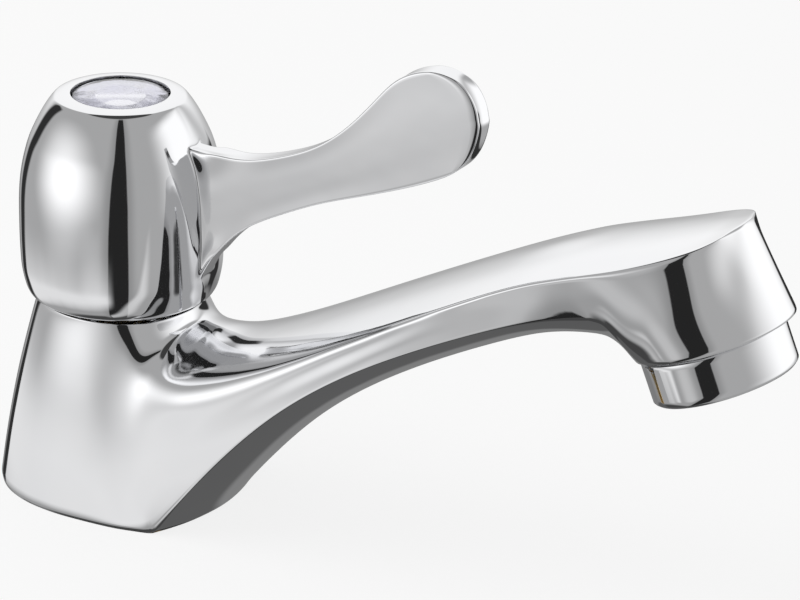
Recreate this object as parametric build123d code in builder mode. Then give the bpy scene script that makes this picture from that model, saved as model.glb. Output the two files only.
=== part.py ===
from build123d import *
import os
from math import cos, pi, radians, sin

# Single lever basin tap: a cast body with a broad arched spout, a quarter turn ceramic valve under a
# barrel handle with a blade lever, an aerator, and a threaded tail that clamps the tap to its deck.
# Millimetres, +Z up, +X along the spout. The origin is on the deck surface, on the axis that the
# handle, the valve and the tail share. The tap is symmetric about the XZ plane.

os.makedirs("parts", exist_ok=True)

# Clearances
running_gap = 0.05       # turning shaft in its bore, on the radius
thread_gap = 0.04        # engaged threads, drawn as plain cylinders
seat_gap = 0.1           # trim and seals in their recesses
lift_gap = 0.1           # turning clip above the fixed face under it

# Base and column
base_front = 24.4
base_corner_x = 19.2
base_corner_y = 19.1
base_half_width = 22.1
base_rear_corner_x = -18.8
base_rear_corner_y = 16.2
base_rear = -25.2
column_mid_height = 20.0
column_mid_scale = 0.895
neck_height = 40.6
neck_radius = 16.4

# Spout stations along X: shoulder half width and height with the rise of its crown, then the
# half width and height of the lower edge with the depth of the belly below it
spout_stations = [
    (0.0, 17.2, 22.5, 6.0, 19.4, -24.3, 6.6),
    (19.0, 18.0, 29.2, 6.8, 19.4, 0.0, 6.8),
    (35.0, 17.8, 35.8, 5.7, 19.2, 20.3, 6.9),
    (52.0, 17.5, 45.5, 4.5, 18.8, 37.1, 6.8),
    (72.0, 17.2, 57.1, 3.4, 17.9, 50.5, 6.5),
    (90.0, 16.8, 66.8, 2.6, 16.8, 59.7, 6.2),
    (103.0, 16.2, 72.3, 2.2, 15.2, 64.4, 6.4),
]
spout_end_stations = [
    spout_stations[-1],
    (109.0, 15.9, 74.4, 2.0, 13.9, 65.4, 7.6),
    (114.0, 15.2, 76.3, 1.6, 12.5, 63.6, 7.1),
]
valley_fillet = 4.0

# Spout head and outlet: the outlet leans forward by its tilt, and heights are along its axis
outlet_x = 129.4
outlet_z = 53.2
outlet_tilt = 23.65
head_rim_height = 8.9
head_rim_radius = 15.0
head_rim_shift = 0.8
head_top_height = 27.5
head_nose_reach = 14.0
head_top_centre = -14.4
head_top_rear = 4.0
head_top_half_width = 16.5
head_draft_height = 36.0
head_crown_radius = 60.0
head_crown_x = 104.0
head_crown_z = 74.9
head_crown_slope = 18.5

# Aerator, with heights along the outlet axis
aerator_radius = 13.5
aerator_skirt = 8.4
aerator_lip_height = 0.9
aerator_lip_radius = 11.2
aerator_bore = 11.6
aerator_thread_radius = 12.4
aerator_thread_top = 14.4
aerator_washer_height = 1.6
aerator_washer_bore = 9.0
cavity_radius = 10.2
cavity_top = 20.5
mesh_height = 1.1
mesh_hole_radius = 0.62
mesh_hole_pitch = 2.9
mesh_rings = 3
insert_wall = 1.4
insert_floor = 1.8
insert_slots = 12
insert_slot_width = 1.6
insert_slot_inner = 3.0

# Waterway
channel_radius = 4.2
channel_bend = 22.0
channel_start_x = 6.0
channel_start_z = 21.0
channel_low_x = 27.0
channel_low_z = 22.0
channel_middle_x = 60.0
channel_middle_z = 45.5
channel_high_x = 95.0
channel_high_z = 64.0
chamber_radius = 9.7
chamber_floor = 16.0
seat_hole_radius = 5.4

# Tail and its seals: a G 1/2 male thread, screwed into the base
tail_radius = 10.4775
tail_bore = 6.8
tail_engagement = 11.0
tail_length = 50.0
tail_chamfer = 0.8
tail_groove_width = 1.6
tail_groove_depth = 0.9
tail_ring_height = 1.2
gasket_inner = 13.0
gasket_width = 3.4
gasket_height = 2.0

# Clamp under the deck
deck_gap = 16.0
washer_outer = 19.0
washer_clearance = 0.3
rubber_washer_height = 3.0
steel_washer_height = 1.5
nut_flats = 27.0
nut_height = 7.5
nut_chamfer = 1.0
nut_flange_radius = 15.8
nut_flange_height = 1.6

# Ceramic valve
valve_thread_bottom = 25.0
valve_thread_radius = 10.4775
sleeve_radius = 9.3
sleeve_bore = 8.3
sleeve_bottom = 16.8
window_width = 7.0
window_bottom = 20.6
window_top = 24.0
seal_height = 1.4
seal_inner = 5.6
disc_height = 2.4
disc_radius = 8.0
disc_port_offset = 4.4
disc_port_radius = 2.2
driver_height = 1.8
driver_radius = 7.6
valve_hex_flats = 24.0
valve_hex_height = 5.0
valve_neck_radius = 7.4
valve_neck_top = 57.0
neck_ring_outer = 12.0
neck_ring_height = 1.5
neck_ring_relief = 0.6

# Spindle
spindle_radius = 4.95
spindle_top = 69.4
spline_radius = 4.0
spline_bottom = 58.8
spline_teeth = 12
spline_cut_radius = 0.5
clip_height = 1.0
clip_groove_radius = 4.3
clip_outer = 7.0
clip_opening = 3.0
spindle_ring_thickness = 1.04
spindle_ring_groove = 0.15
spindle_ring_heights = (34.0, 46.0)

# Handle barrel
barrel_rim_height = 41.2
barrel_rim_radius = 18.44
barrel_belly_radius = 20.0
barrel_belly_low = 52.0
barrel_belly_high = 58.0
barrel_shoulder_radius = 18.1
barrel_shoulder_height = 69.6
barrel_top_radius = 12.9
barrel_top_height = 81.5
barrel_top_rise = 0.4
barrel_top_edge = 0.7
barrel_wall = 3.2
barrel_roof = 62.0
insert_socket_top = 70.0
web_top = 72.4
screw_well_radius = 6.6
button_seat = 77.4
button_radius = 9.35

# Lever blade, drawn in the XZ plane
lever_thickness = 4.4
lever_edge = 1.4
lever_outline = [
    (14.0, 74.3), (26.5, 74.6), (36.2, 76.8), (46.0, 81.3), (54.4, 88.7), (62.6, 97.5),
    (69.0, 100.1), (75.2, 98.6), (78.9, 92.4), (76.6, 83.6), (68.4, 78.4), (52.6, 72.1),
    (37.5, 65.4), (28.6, 60.0), (23.3, 54.6), (19.6, 48.5), (17.0, 44.0),
]

# Insert, screw and index button
insert_radius = 6.4
insert_flat = 5.4
insert_drop = 2.0
screw_radius = 2.5
screw_clearance = 0.3
screw_length = 12.0
screw_tip_gap = 1.0
screw_head_radius = 4.6
screw_head_height = 2.6
screw_recess_width = 1.2
screw_recess_length = 5.0
screw_recess_depth = 1.6
lock_washer_radius = 5.4
lock_washer_height = 0.8
bezel_height = 1.4
bezel_bore = 7.4
backing_height = 0.4
button_edge_height = 2.2
button_dome = 0.7


def plan_outline(front, corner_x, corner_y, half_width, rear_corner_x, rear_corner_y, rear):
    """Four arcs round the column: front, two sides and rear, with a corner where each pair meets."""
    with BuildSketch() as outline:
        with BuildLine():
            ThreePointArc((corner_x, -corner_y), (front, 0), (corner_x, corner_y))
            ThreePointArc((corner_x, corner_y), (0, half_width), (rear_corner_x, rear_corner_y))
            ThreePointArc((rear_corner_x, rear_corner_y), (rear, 0), (rear_corner_x, -rear_corner_y))
            ThreePointArc((rear_corner_x, -rear_corner_y), (0, -half_width), (corner_x, -corner_y))
        make_face()
    return outline.sketch


def spout_outline(top_half, top_height, crown, low_half, low_height, belly):
    """Crowned top, two flanks and a rounded belly, with a sharp edge where belly and flank meet."""
    with BuildSketch() as outline:
        with BuildLine():
            Line((-low_half, low_height), (-top_half, top_height))
            ThreePointArc((-top_half, top_height), (0, top_height + crown), (top_half, top_height))
            Line((top_half, top_height), (low_half, low_height))
            ThreePointArc((low_half, low_height), (0, low_height - belly), (-low_half, low_height))
        make_face()
    return outline.sketch


def head_value(at_rim, at_top, height):
    """A size of the head at a height along the outlet axis, on straight sides from rim to top."""
    share = (height - head_rim_height) / (head_top_height - head_rim_height)
    return at_rim + (at_top - at_rim) * share


# Planes and heights that follow from the sizes
tilt = radians(outlet_tilt)
outlet_plane = Plane(
    origin=(outlet_x, 0, outlet_z),
    x_dir=(cos(tilt), 0, sin(tilt)),
    z_dir=(-sin(tilt), 0, cos(tilt)),
)
crown_slope = radians(head_crown_slope)
crown_plane = Plane(
    origin=(head_crown_x, 0, head_crown_z),
    x_dir=(0, 1, 0),
    z_dir=(cos(crown_slope), 0, sin(crown_slope)),
)
base_sizes = (
    base_front, base_corner_x, base_corner_y, base_half_width,
    base_rear_corner_x, base_rear_corner_y, base_rear,
)
neck_corner = neck_radius * cos(pi / 4)
neck_ring_bottom = neck_height - neck_ring_height
tail_socket_top = tail_engagement + tail_ring_height
aerator_seat = aerator_thread_top + aerator_washer_height
washer_inner = tail_radius + washer_clearance
rubber_bottom = -deck_gap - rubber_washer_height
steel_bottom = rubber_bottom - steel_washer_height
nut_bottom = steel_bottom - nut_flange_height - nut_height
seal_top = chamber_floor + seal_height
fixed_disc_top = seal_top + disc_height
moving_disc_top = fixed_disc_top + disc_height
driver_top = moving_disc_top + driver_height
clip_bottom = valve_neck_top + lift_gap
spindle_bore = spindle_radius + running_gap
spindle_ring_centre = spindle_radius - spindle_ring_thickness / 2 + running_gap / 2
lock_washer_top = web_top + lock_washer_height
screw_tip = lock_washer_top - screw_length
bezel_top = button_seat + bezel_height
backing_top = bezel_top + backing_height
button_recess_radius = button_radius + 2 * seat_gap

# Spout head: straight sides from the round rim to the long tongue of the top, under a crowned top
with BuildPart() as spout_head:
    rim_rear = head_rim_shift - head_rim_radius
    rim_nose = head_rim_shift + head_rim_radius
    with BuildSketch(outlet_plane.offset(head_rim_height)):
        with BuildLine():
            side_a = (head_rim_shift, -head_rim_radius)
            side_b = (head_rim_shift, head_rim_radius)
            ThreePointArc(side_a, (rim_nose, 0), side_b)
            ThreePointArc(side_b, (rim_rear, 0), side_a)
        make_face()
    with BuildSketch(outlet_plane.offset(head_draft_height)):
        top_nose = head_value(rim_nose, head_nose_reach, head_draft_height)
        top_centre = head_value(head_rim_shift, head_top_centre, head_draft_height)
        top_half = head_value(head_rim_radius, head_top_half_width, head_draft_height)
        with BuildLine():
            EllipticalCenterArc((top_centre, 0), top_nose - top_centre, top_half,
                                start_angle=-90, arc_size=180)
            ThreePointArc((top_centre, top_half), (top_centre - head_top_rear, 0), (top_centre, -top_half))
        make_face()
    loft()
    with BuildSketch(crown_plane):
        with Locations((0, -head_crown_radius)):
            Circle(head_crown_radius)
    extrude(amount=outlet_x, both=True, mode=Mode.INTERSECT)

# Body: column, spout and head are one casting, hollow for the tail, the valve and the waterway
with BuildPart() as body_casting:
    with BuildSketch(Plane.XY):
        add(plan_outline(*base_sizes))
    with BuildSketch(Plane.XY.offset(column_mid_height)):
        add(plan_outline(*[size * column_mid_scale for size in base_sizes]))
    with BuildSketch(Plane.XY.offset(neck_height)):
        add(plan_outline(neck_radius, neck_corner, neck_corner, neck_radius,
                         -neck_corner, neck_corner, -neck_radius))
    loft()
    for along, *sizes in spout_stations:
        with BuildSketch(Plane.YZ.offset(along)):
            add(spout_outline(*sizes))
    loft()
    # Hollow blend between the neck and the top of the spout
    crown_point = (spout_stations[3][0], 0, spout_stations[3][2] + spout_stations[3][3])
    spout_top = body_casting.faces().sort_by_distance(crown_point)[0]
    fillet(spout_top.edges().filter_by_position(Axis.X, 0, base_front), valley_fillet)
    for along, *sizes in spout_end_stations:
        with BuildSketch(Plane.YZ.offset(along)):
            add(spout_outline(*sizes))
    loft()
    add(spout_head.part)
    # Everything under the deck surface is trimmed away
    with BuildSketch(Plane.XY):
        Rectangle(2 * outlet_x, 2 * outlet_x)
    extrude(amount=-outlet_x, mode=Mode.SUBTRACT)
    # Groove for the gasket and socket for the tail, both open downwards
    with BuildSketch(Plane.XY):
        Circle(gasket_inner + gasket_width + seat_gap)
        Circle(gasket_inner - seat_gap, mode=Mode.SUBTRACT)
    extrude(amount=gasket_height, mode=Mode.SUBTRACT)
    with BuildSketch(Plane.XY):
        Circle(tail_radius + thread_gap)
    extrude(amount=tail_socket_top, mode=Mode.SUBTRACT)
    # Seat hole, valve chamber, valve thread and the recess for the ring at the neck
    with BuildSketch(Plane.XY.offset(tail_socket_top)):
        Circle(seat_hole_radius)
    extrude(amount=chamber_floor - tail_socket_top, mode=Mode.SUBTRACT)
    with BuildSketch(Plane.XY.offset(chamber_floor)):
        Circle(chamber_radius)
    extrude(amount=valve_thread_bottom - chamber_floor, mode=Mode.SUBTRACT)
    with BuildSketch(Plane.XY.offset(valve_thread_bottom)):
        Circle(valve_thread_radius + thread_gap)
    extrude(amount=neck_height - valve_thread_bottom, mode=Mode.SUBTRACT)
    with BuildSketch(Plane.XY.offset(neck_ring_bottom)):
        Circle(neck_ring_outer + seat_gap)
    extrude(amount=neck_ring_height, mode=Mode.SUBTRACT)
    # Waterway from the chamber along the spout, then the cavity and the thread at the outlet
    channel_end = outlet_plane.offset(cavity_top - channel_radius - 1).origin
    with BuildLine() as channel_path:
        FilletPolyline(
            (channel_start_x, 0, channel_start_z),
            (channel_low_x, 0, channel_low_z),
            (channel_middle_x, 0, channel_middle_z),
            (channel_high_x, 0, channel_high_z),
            channel_end,
            radius=channel_bend,
        )
    with BuildSketch(Plane(origin=channel_path.line @ 0, z_dir=channel_path.line % 0)):
        Circle(channel_radius)
    sweep(path=channel_path.line, mode=Mode.SUBTRACT)
    with BuildSketch(outlet_plane):
        Circle(cavity_radius)
    extrude(amount=cavity_top, mode=Mode.SUBTRACT)
    with BuildSketch(outlet_plane):
        Circle(aerator_thread_radius + thread_gap)
    extrude(amount=aerator_seat, mode=Mode.SUBTRACT)
body_casting.part.label = "body_casting"
export_step(body_casting.part, "parts/body_casting.step")

# Tail: a threaded shank with a relief groove between the clamp thread and the connection thread
with BuildPart() as inlet_tail:
    with BuildSketch(Plane.XY.offset(-tail_length)):
        Circle(tail_radius)
    extrude(amount=tail_length + tail_engagement)
    chamfer(inlet_tail.edges().filter_by(GeomType.CIRCLE), tail_chamfer)
    with BuildSketch(Plane.XY.offset(-tail_length)):
        Circle(tail_bore)
    extrude(amount=tail_length + tail_engagement, mode=Mode.SUBTRACT)
    with BuildSketch(Plane.XY.offset(nut_bottom - tail_groove_width)):
        Circle(tail_radius)
        Circle(tail_radius - tail_groove_depth, mode=Mode.SUBTRACT)
    extrude(amount=tail_groove_width, mode=Mode.SUBTRACT)
inlet_tail.part.label = "inlet_tail"
export_step(inlet_tail.part, "parts/inlet_tail.step")

# Sealing ring between the tail's end and the base
with BuildPart() as tail_ring:
    with BuildSketch(Plane.XY.offset(tail_engagement)):
        Circle(tail_radius - seat_gap)
        Circle(tail_bore, mode=Mode.SUBTRACT)
    extrude(amount=tail_ring_height)
tail_ring.part.label = "tail_ring"
export_step(tail_ring.part, "parts/tail_ring.step")

# Gasket between the base and the deck
with BuildPart() as base_gasket:
    with BuildSketch(Plane.XY):
        Circle(gasket_inner + gasket_width)
        Circle(gasket_inner, mode=Mode.SUBTRACT)
    extrude(amount=gasket_height)
base_gasket.part.label = "base_gasket"
export_step(base_gasket.part, "parts/base_gasket.step")

# Clamp washers under the deck
with BuildPart() as deck_washer_rubber:
    with BuildSketch(Plane.XY.offset(rubber_bottom)):
        Circle(washer_outer)
        Circle(washer_inner, mode=Mode.SUBTRACT)
    extrude(amount=rubber_washer_height)
deck_washer_rubber.part.label = "deck_washer_rubber"
export_step(deck_washer_rubber.part, "parts/deck_washer_rubber.step")

with BuildPart() as deck_washer_steel:
    with BuildSketch(Plane.XY.offset(steel_bottom)):
        Circle(washer_outer)
        Circle(washer_inner, mode=Mode.SUBTRACT)
    extrude(amount=steel_washer_height)
deck_washer_steel.part.label = "deck_washer_steel"
export_step(deck_washer_steel.part, "parts/deck_washer_steel.step")

# Backnut: a hexagon with rounded lower corners and a flange that bears on the steel washer
with BuildPart() as backnut:
    with BuildSketch(Plane.XY.offset(nut_bottom)):
        Circle(nut_flats / 2 / cos(pi / 6))
    extrude(amount=nut_height)
    chamfer(backnut.faces().sort_by(Axis.Z)[0].edges(), nut_chamfer)
    with BuildSketch(Plane.XY.offset(nut_bottom)):
        RegularPolygon(nut_flats / 2, 6, major_radius=False)
    extrude(amount=nut_height, mode=Mode.INTERSECT)
    with BuildSketch(Plane.XY.offset(steel_bottom - nut_flange_height)):
        Circle(nut_flange_radius)
    extrude(amount=nut_flange_height)
    with BuildSketch(Plane.XY.offset(nut_bottom)):
        Circle(tail_radius + thread_gap)
    extrude(amount=nut_height + nut_flange_height, mode=Mode.SUBTRACT)
backnut.part.label = "backnut"
export_step(backnut.part, "parts/backnut.step")

# Valve body: it screws into the neck, and its sleeve holds the seal and the two discs
with BuildPart() as valve_body:
    with BuildSketch(Plane.XY.offset(neck_height)):
        Circle(valve_hex_flats / 2 / cos(pi / 6))
    extrude(amount=valve_hex_height)
    chamfer(valve_body.faces().sort_by(Axis.Z)[-1].edges(), nut_chamfer)
    with BuildSketch(Plane.XY.offset(neck_height)):
        RegularPolygon(valve_hex_flats / 2, 6, major_radius=False)
    extrude(amount=valve_hex_height, mode=Mode.INTERSECT)
    with BuildSketch(Plane.XY.offset(sleeve_bottom)):
        Circle(sleeve_radius)
    extrude(amount=valve_thread_bottom - sleeve_bottom)
    with BuildSketch(Plane.XY.offset(valve_thread_bottom)):
        Circle(valve_thread_radius)
    extrude(amount=neck_height - valve_thread_bottom)
    with BuildSketch(Plane.XY.offset(neck_ring_bottom)):
        Circle(valve_thread_radius)
        Circle(valve_thread_radius - neck_ring_relief, mode=Mode.SUBTRACT)
    extrude(amount=neck_ring_height, mode=Mode.SUBTRACT)
    with BuildSketch(Plane.XY.offset(neck_height)):
        Circle(valve_neck_radius)
    extrude(amount=valve_neck_top - neck_height)
    with BuildSketch(Plane.XY.offset(sleeve_bottom)):
        Circle(sleeve_bore)
    extrude(amount=valve_thread_bottom - sleeve_bottom, mode=Mode.SUBTRACT)
    with BuildSketch(Plane.XY.offset(valve_thread_bottom)):
        Circle(spindle_bore)
    extrude(amount=valve_neck_top - valve_thread_bottom, mode=Mode.SUBTRACT)
    with BuildSketch(Plane.XY.offset(window_bottom)):
        Rectangle(3 * sleeve_radius, window_width)
    extrude(amount=window_top - window_bottom, mode=Mode.SUBTRACT)
valve_body.part.label = "valve_body"
export_step(valve_body.part, "parts/valve_body.step")

# Ring that seals the valve body in the neck
with BuildPart() as neck_ring:
    with BuildSketch(Plane.XY.offset(neck_ring_bottom)):
        Circle(neck_ring_outer)
        Circle(valve_thread_radius - neck_ring_relief + seat_gap, mode=Mode.SUBTRACT)
    extrude(amount=neck_ring_height)
neck_ring.part.label = "neck_ring"
export_step(neck_ring.part, "parts/neck_ring.step")

# Rubber seal under the fixed disc
with BuildPart() as seat_seal:
    with BuildSketch(Plane.XY.offset(chamber_floor)):
        Circle(disc_radius)
        Circle(seal_inner, mode=Mode.SUBTRACT)
    extrude(amount=seal_height)
seat_seal.part.label = "seat_seal"
export_step(seat_seal.part, "parts/seat_seal.step")

# Ceramic discs: the ports of the moving disc lie across those of the fixed disc when it is shut
with BuildPart() as fixed_disc:
    with BuildSketch(Plane.XY.offset(seal_top)):
        Circle(disc_radius)
        with PolarLocations(disc_port_offset, 2):
            Circle(disc_port_radius, mode=Mode.SUBTRACT)
    extrude(amount=disc_height)
fixed_disc.part.label = "fixed_disc"
export_step(fixed_disc.part, "parts/fixed_disc.step")

with BuildPart() as moving_disc:
    with BuildSketch(Plane.XY.offset(fixed_disc_top)):
        Circle(disc_radius)
        with PolarLocations(disc_port_offset, 2, start_angle=90):
            Circle(disc_port_radius, mode=Mode.SUBTRACT)
    extrude(amount=disc_height)
moving_disc.part.label = "moving_disc"
export_step(moving_disc.part, "parts/moving_disc.step")

# Spindle: driver flange, two ring grooves, clip groove, splined end and the hole for the screw
with BuildPart() as spindle:
    with BuildSketch(Plane.XY.offset(moving_disc_top)):
        Circle(driver_radius)
    extrude(amount=driver_height)
    with BuildSketch(Plane.XY.offset(driver_top)):
        Circle(spindle_radius)
    extrude(amount=spline_bottom - driver_top)
    with BuildSketch(Plane.XY.offset(spline_bottom)):
        Circle(spline_radius)
        with PolarLocations(spline_radius, spline_teeth):
            Circle(spline_cut_radius, mode=Mode.SUBTRACT)
    extrude(amount=spindle_top - spline_bottom)
    for height in spindle_ring_heights:
        with BuildSketch(Plane.XY.offset(height - spindle_ring_thickness / 2 - spindle_ring_groove)):
            Circle(spindle_radius)
            Circle(spindle_ring_centre - spindle_ring_thickness / 2, mode=Mode.SUBTRACT)
        extrude(amount=spindle_ring_thickness + 2 * spindle_ring_groove, mode=Mode.SUBTRACT)
    with BuildSketch(Plane.XY.offset(clip_bottom)):
        Circle(spindle_radius)
        Circle(clip_groove_radius, mode=Mode.SUBTRACT)
    extrude(amount=clip_height, mode=Mode.SUBTRACT)
    with BuildSketch(Plane.XY.offset(screw_tip - screw_tip_gap)):
        Circle(screw_radius + thread_gap)
    extrude(amount=spindle_top - screw_tip + screw_tip_gap, mode=Mode.SUBTRACT)
spindle.part.label = "spindle"
export_step(spindle.part, "parts/spindle.step")

# Spindle rings, one in each groove
for place, height in zip(("lower", "upper"), spindle_ring_heights):
    with BuildPart() as spindle_ring:
        with BuildSketch(Plane.XZ):
            with Locations((spindle_ring_centre, height)):
                Circle(spindle_ring_thickness / 2)
        revolve(axis=Axis.Z)
    spindle_ring.part.label = f"spindle_ring_{place}"
    export_step(spindle_ring.part, f"parts/spindle_ring_{place}.step")

# Clip that stops the spindle from dropping into the valve body
with BuildPart() as spindle_clip:
    with BuildSketch(Plane.XY.offset(clip_bottom)):
        Circle(clip_outer)
        Circle(clip_groove_radius, mode=Mode.SUBTRACT)
        with Locations((-clip_outer, 0)):
            Rectangle(2 * clip_outer, clip_opening, mode=Mode.SUBTRACT)
    extrude(amount=clip_height)
spindle_clip.part.label = "spindle_clip"
export_step(spindle_clip.part, "parts/spindle_clip.step")

# Lever blade, with its long edges rounded
with BuildPart() as lever_blade:
    with BuildSketch(Plane.XZ):
        with BuildLine():
            Spline(*lever_outline)
            Line(lever_outline[-1], lever_outline[0])
        make_face()
    extrude(amount=lever_thickness / 2, both=True)
    long_edges = lever_blade.edges().filter_by(GeomType.BSPLINE)
    fillet(long_edges, lever_edge)

# Handle: a hollow barrel with its lever, cast in one
with BuildPart() as handle_casting:
    with BuildSketch(Plane.XZ):
        with BuildLine():
            belly_low = (barrel_belly_radius, barrel_belly_low)
            belly_high = (barrel_belly_radius, barrel_belly_high)
            rim = (barrel_rim_radius, barrel_rim_height)
            top_edge = (barrel_top_radius, barrel_top_height)
            top_middle = (0, barrel_top_height + barrel_top_rise)
            Line((0, barrel_rim_height), rim)
            Spline(rim, belly_low, tangents=((0.35, 1), (0, 1)))
            Line(belly_low, belly_high)
            Spline(belly_high, (barrel_shoulder_radius, barrel_shoulder_height), top_edge,
                   tangents=((0, 1), (-0.5, 1)))
            Line(top_edge, top_middle)
            Line(top_middle, (0, barrel_rim_height))
        make_face()
    revolve(axis=Axis.Z)
    fillet(handle_casting.edges().filter_by(GeomType.CIRCLE).sort_by(Axis.Z)[-1], barrel_top_edge)
    add(lever_blade.part)
    # Hollow for the valve, socket for the insert, then the well and the recess under the button
    with BuildSketch(Plane.XZ):
        Polygon((0, barrel_rim_height - 1), (barrel_rim_radius - barrel_wall, barrel_rim_height - 1),
                (barrel_belly_radius - barrel_wall, barrel_belly_low),
                (barrel_belly_radius - barrel_wall, barrel_belly_high),
                (barrel_belly_radius - 1.2 * barrel_wall, barrel_roof), (0, barrel_roof), align=None)
    revolve(axis=Axis.Z, mode=Mode.SUBTRACT)
    with BuildSketch(Plane.XY.offset(barrel_roof)):
        Circle(insert_radius + thread_gap)
        Rectangle(4 * insert_radius, 2 * insert_flat + 2 * thread_gap, mode=Mode.INTERSECT)
    extrude(amount=insert_socket_top - barrel_roof, mode=Mode.SUBTRACT)
    with BuildSketch(Plane.XY.offset(insert_socket_top)):
        Circle(screw_radius + screw_clearance)
    extrude(amount=web_top - insert_socket_top, mode=Mode.SUBTRACT)
    with BuildSketch(Plane.XY.offset(web_top)):
        Circle(screw_well_radius)
    extrude(amount=button_seat - web_top, mode=Mode.SUBTRACT)
    with BuildSketch(Plane.XY.offset(button_seat)):
        Circle(button_recess_radius)
    extrude(amount=barrel_top_height - button_seat + 1, mode=Mode.SUBTRACT)
handle_casting.part.label = "handle_casting"
export_step(handle_casting.part, "parts/handle_casting.step")

# Insert: it carries the handle on the spindle's splines and is held from turning by two flats
with BuildPart() as spline_insert:
    with BuildSketch(Plane.XY.offset(barrel_roof - insert_drop)):
        Circle(insert_radius)
        Rectangle(4 * insert_radius, 2 * insert_flat, mode=Mode.INTERSECT)
        Circle(spline_radius + thread_gap, mode=Mode.SUBTRACT)
    extrude(amount=insert_socket_top - barrel_roof + insert_drop)
spline_insert.part.label = "spline_insert"
export_step(spline_insert.part, "parts/spline_insert.step")

# Screw and washer that hold the handle down on the spindle
with BuildPart() as lock_washer:
    with BuildSketch(Plane.XY.offset(web_top)):
        Circle(lock_washer_radius)
        Circle(screw_radius + screw_clearance, mode=Mode.SUBTRACT)
    extrude(amount=lock_washer_height)
lock_washer.part.label = "lock_washer"
export_step(lock_washer.part, "parts/lock_washer.step")

with BuildPart() as handle_screw:
    with BuildSketch(Plane.XY.offset(screw_tip)):
        Circle(screw_radius)
    extrude(amount=screw_length)
    with BuildSketch(Plane.XY.offset(lock_washer_top)):
        Circle(screw_head_radius)
    extrude(amount=screw_head_height)
    fillet(handle_screw.edges().filter_by(GeomType.CIRCLE).sort_by(Axis.Z)[-1], screw_head_height / 2)
    with BuildSketch(Plane.XY.offset(lock_washer_top + screw_head_height - screw_recess_depth)):
        Rectangle(screw_recess_length, screw_recess_width)
        Rectangle(screw_recess_width, screw_recess_length)
    extrude(amount=screw_recess_depth, mode=Mode.SUBTRACT)
handle_screw.part.label = "handle_screw"
export_step(handle_screw.part, "parts/handle_screw.step")

# Index button: a clip ring, a bright backing disc and a clear domed lens
with BuildPart() as button_bezel:
    with BuildSketch(Plane.XY.offset(button_seat)):
        Circle(button_radius)
        Circle(bezel_bore, mode=Mode.SUBTRACT)
    extrude(amount=bezel_height)
button_bezel.part.label = "button_bezel"
export_step(button_bezel.part, "parts/button_bezel.step")

with BuildPart() as button_backing:
    with BuildSketch(Plane.XY.offset(bezel_top)):
        Circle(button_radius - seat_gap)
    extrude(amount=backing_height)
button_backing.part.label = "button_backing"
export_step(button_backing.part, "parts/button_backing.step")

with BuildPart() as index_button:
    with BuildSketch(Plane.XZ):
        with BuildLine():
            edge_top = backing_top + button_edge_height
            Polyline((0, edge_top + button_dome), (0, backing_top), (button_radius, backing_top),
                     (button_radius, edge_top))
            TangentArc((0, edge_top + button_dome), (button_radius, edge_top), tangent=(1, 0))
        make_face()
    revolve(axis=Axis.Z)
index_button.part.label = "index_button"
export_step(index_button.part, "parts/index_button.step")

# Aerator shell: a plain skirt below the thread, with a lip that holds the mesh
with BuildPart() as aerator_shell:
    with BuildSketch(outlet_plane):
        Circle(aerator_radius)
    extrude(amount=aerator_skirt)
    with BuildSketch(outlet_plane.offset(aerator_skirt)):
        Circle(aerator_thread_radius)
    extrude(amount=aerator_thread_top - aerator_skirt)
    with BuildSketch(outlet_plane):
        Circle(aerator_lip_radius)
    extrude(amount=aerator_lip_height, mode=Mode.SUBTRACT)
    with BuildSketch(outlet_plane.offset(aerator_lip_height)):
        Circle(aerator_bore)
    extrude(amount=aerator_thread_top - aerator_lip_height, mode=Mode.SUBTRACT)
aerator_shell.part.label = "aerator_shell"
export_step(aerator_shell.part, "parts/aerator_shell.step")

# Mesh at the outlet: rings of round holes
with BuildPart() as aerator_mesh:
    with BuildSketch(outlet_plane.offset(aerator_lip_height)):
        Circle(aerator_bore - seat_gap)
        Circle(mesh_hole_radius, mode=Mode.SUBTRACT)
        for ring in range(1, mesh_rings + 1):
            with PolarLocations(ring * mesh_hole_pitch, 6 * ring):
                Circle(mesh_hole_radius, mode=Mode.SUBTRACT)
    extrude(amount=mesh_height)
aerator_mesh.part.label = "aerator_mesh"
export_step(aerator_mesh.part, "parts/aerator_mesh.step")

# Insert that breaks up the flow: a cup with radial slots in its upper floor
with BuildPart() as aerator_insert:
    insert_low = aerator_lip_height + mesh_height
    insert_height = aerator_thread_top - insert_low
    with BuildSketch(outlet_plane.offset(insert_low)):
        Circle(aerator_bore - seat_gap)
    extrude(amount=insert_height)
    with BuildSketch(outlet_plane.offset(insert_low)):
        Circle(aerator_bore - seat_gap - insert_wall)
    extrude(amount=insert_height - insert_floor, mode=Mode.SUBTRACT)
    slot_outer = aerator_bore - seat_gap - 2 * insert_wall
    with BuildSketch(outlet_plane.offset(insert_low)):
        with PolarLocations((insert_slot_inner + slot_outer) / 2, insert_slots):
            Rectangle(slot_outer - insert_slot_inner, insert_slot_width)
    extrude(amount=insert_height, mode=Mode.SUBTRACT)
aerator_insert.part.label = "aerator_insert"
export_step(aerator_insert.part, "parts/aerator_insert.step")

# Washer that seals the aerator against its seat in the head
with BuildPart() as aerator_washer:
    with BuildSketch(outlet_plane.offset(aerator_thread_top)):
        Circle(aerator_thread_radius - seat_gap)
        Circle(aerator_washer_bore, mode=Mode.SUBTRACT)
    extrude(amount=aerator_washer_height)
aerator_washer.part.label = "aerator_washer"
export_step(aerator_washer.part, "parts/aerator_washer.step")
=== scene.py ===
# %% [markdown]
# A chrome basin tap, part by part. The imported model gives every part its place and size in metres,
# with +X along the spout and +Z up out of the deck. It is loaded first, so that each new piece can be
# made round it and ride on one of its two bodies: the fixed body and the handle.

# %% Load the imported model
import bmesh
import bpy
import math
from mathutils import Matrix, Vector


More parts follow.
